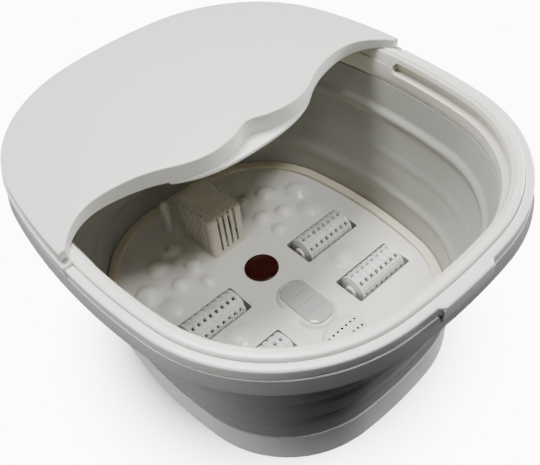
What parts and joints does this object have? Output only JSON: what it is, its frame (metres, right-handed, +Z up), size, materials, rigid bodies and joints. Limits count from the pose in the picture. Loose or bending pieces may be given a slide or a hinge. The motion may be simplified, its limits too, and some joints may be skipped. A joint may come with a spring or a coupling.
{
  "type": "foot spa basin",
  "caption": "Collapsible heated foot spa basin with massage rollers, bubble cap, infrared lens, herb box, carry handle and removable splash lid.",
  "frame": {"origin": "middle of the underside of the feet", "axes": "+Z up, +X to the right of the person sitting at the basin, -Y towards that person; the lid covers the +Y half"},
  "size_m": [0.366, 0.4239, 0.2315],
  "materials": {
    "base_plastic": "fine satin, light grey band",
    "plate_plastic": "plain moulded",
    "rubber_black": "matte",
    "screw_steel": "bright zinc",
    "floor_plastic": "smooth moulded",
    "ring_plastic": "moulded, slightly warm",
    "roller_plastic": "moulded",
    "axle_steel": "ground",
    "clip_plastic": "moulded",
    "lens_red": "deep red, glossy",
    "gasket_rubber": "matte",
    "board_green": "circuit board",
    "window_clear": "milky translucent",
    "cap_plastic": "moulded",
    "herb_plastic": "moulded, speckled",
    "heater_metal": "cast",
    "part_black": "moulded",
    "hose_rubber": "silicone",
    "button_plastic": "moulded",
    "panel_plastic": "gloss black",
    "display_tint": "smoked",
    "wall_rubber": "soft elastomer, mid grey",
    "frame_plastic": "white, smooth",
    "lip_plastic": "off-white, smooth",
    "lid_plastic": "light grey, fine satin"
  },
  "bodies": {
    "base": {"base_shell": "base_plastic", "bottom_plate": "plate_plastic", "rubber_feet": "rubber_black", "base_screws": "screw_steel", "floor_tray": "floor_plastic", "lower_clamp_ring": "ring_plastic", "roller_axles": "axle_steel", "roller_clips": "clip_plastic", "infrared_lens": "lens_red", "lens_gasket": "gasket_rubber", "infrared_lamp_board": "board_green", "light_window": "window_clear", "light_board": "board_green", "bubble_cap": "cap_plastic", "ptc_heater": "heater_metal", "thermostat": "part_black", "circulation_pump": "part_black", "water_hose": "hose_rubber", "air_pump": "part_black", "air_hose": "hose_rubber", "control_board": "board_green", "control_panel": "panel_plastic", "display_lens": "display_tint", "button_board": "board_green", "power_inlet": "part_black", "wall_tier_1": "wall_rubber"},
    "upper_frame": {"top_frame": "frame_plastic", "inner_lip": "lip_plastic", "wall_tier_4": "wall_rubber", "upper_clamp_ring": "ring_plastic", "handle_pins": "axle_steel"},
    "wall_low": {"wall_tier_2": "wall_rubber"},
    "wall_high": {"wall_tier_3": "wall_rubber"},
    "handle": {"carry_handle": "frame_plastic"},
    "lid": {"lid_shell": "lid_plastic", "lid_front_rail": "frame_plastic"},
    "herb_box": {"herb_box_cage": "herb_plastic", "herb_box_cap": "herb_plastic"},
    "rear_right_roller": {"roller_rear_right": "roller_plastic"},
    "rear_left_roller": {"roller_rear_left": "roller_plastic"},
    "front_right_roller": {"roller_front_right": "roller_plastic"},
    "front_left_roller": {"roller_front_left": "roller_plastic"},
    "power_key": {"power_button": "button_plastic"},
    "heat_key": {"heat_button": "button_plastic"},
    "bubble_key": {"bubble_button": "button_plastic"}
  },
  "joints": [
    {"name": "collapse", "type": "slide", "parent": "base", "child": "upper_frame", "axis": [0, 0, -1], "range_m": [0, 0.096]},
    {"name": "wall_fold_low", "type": "slide", "parent": "base", "child": "wall_low", "axis": [0, 0, -1], "range_m": [0, 0.032]},
    {"name": "wall_fold_high", "type": "slide", "parent": "base", "child": "wall_high", "axis": [0, 0, -1], "range_m": [0, 0.064]},
    {"name": "handle_swing", "type": "hinge", "parent": "upper_frame", "child": "handle", "pos_m": [0, -0.008, 0.20765], "axis": [-1, 0, 0], "range_deg": [0, 90]},
    {"name": "lid_lift", "type": "slide", "parent": "upper_frame", "child": "lid", "axis": [0, 0, 1], "range_m": [0, 0.06]},
    {"name": "herb_box_lift", "type": "slide", "parent": "base", "child": "herb_box", "axis": [0, 0, 1], "range_m": [0, 0.06]},
    {"name": "rear_right_roller_spin", "type": "hinge", "parent": "base", "child": "rear_right_roller", "pos_m": [0.073, 0.002, 0.0384], "axis": [1, 0, 0], "continuous": true},
    {"name": "rear_left_roller_spin", "type": "hinge", "parent": "base", "child": "rear_left_roller", "pos_m": [-0.073, 0.002, 0.0384], "axis": [1, 0, 0], "continuous": true},
    {"name": "front_right_roller_spin", "type": "hinge", "parent": "base", "child": "front_right_roller", "pos_m": [0.073, -0.068, 0.0384], "axis": [1, 0, 0], "continuous": true},
    {"name": "front_left_roller_spin", "type": "hinge", "parent": "base", "child": "front_left_roller", "pos_m": [-0.073, -0.068, 0.0384], "axis": [1, 0, 0], "continuous": true},
    {"name": "power_press", "type": "slide", "parent": "base", "child": "power_key", "axis": [-1, 0, 0], "range_m": [0, 0.0008], "stiffness_N_per_m": 1200, "springref_m": -0.0008},
    {"name": "heat_press", "type": "slide", "parent": "base", "child": "heat_key", "axis": [-1, 0, 0], "range_m": [0, 0.0008], "stiffness_N_per_m": 1200, "springref_m": -0.0008},
    {"name": "bubble_press", "type": "slide", "parent": "base", "child": "bubble_key", "axis": [-1, 0, 0], "range_m": [0, 0.0008], "stiffness_N_per_m": 1200, "springref_m": -0.0008}
  ],
  "couplings": [
    {"joint": "wall_fold_low", "follows": "collapse", "ratio": 0.3333},
    {"joint": "wall_fold_high", "follows": "collapse", "ratio": 0.6666}
  ]
}
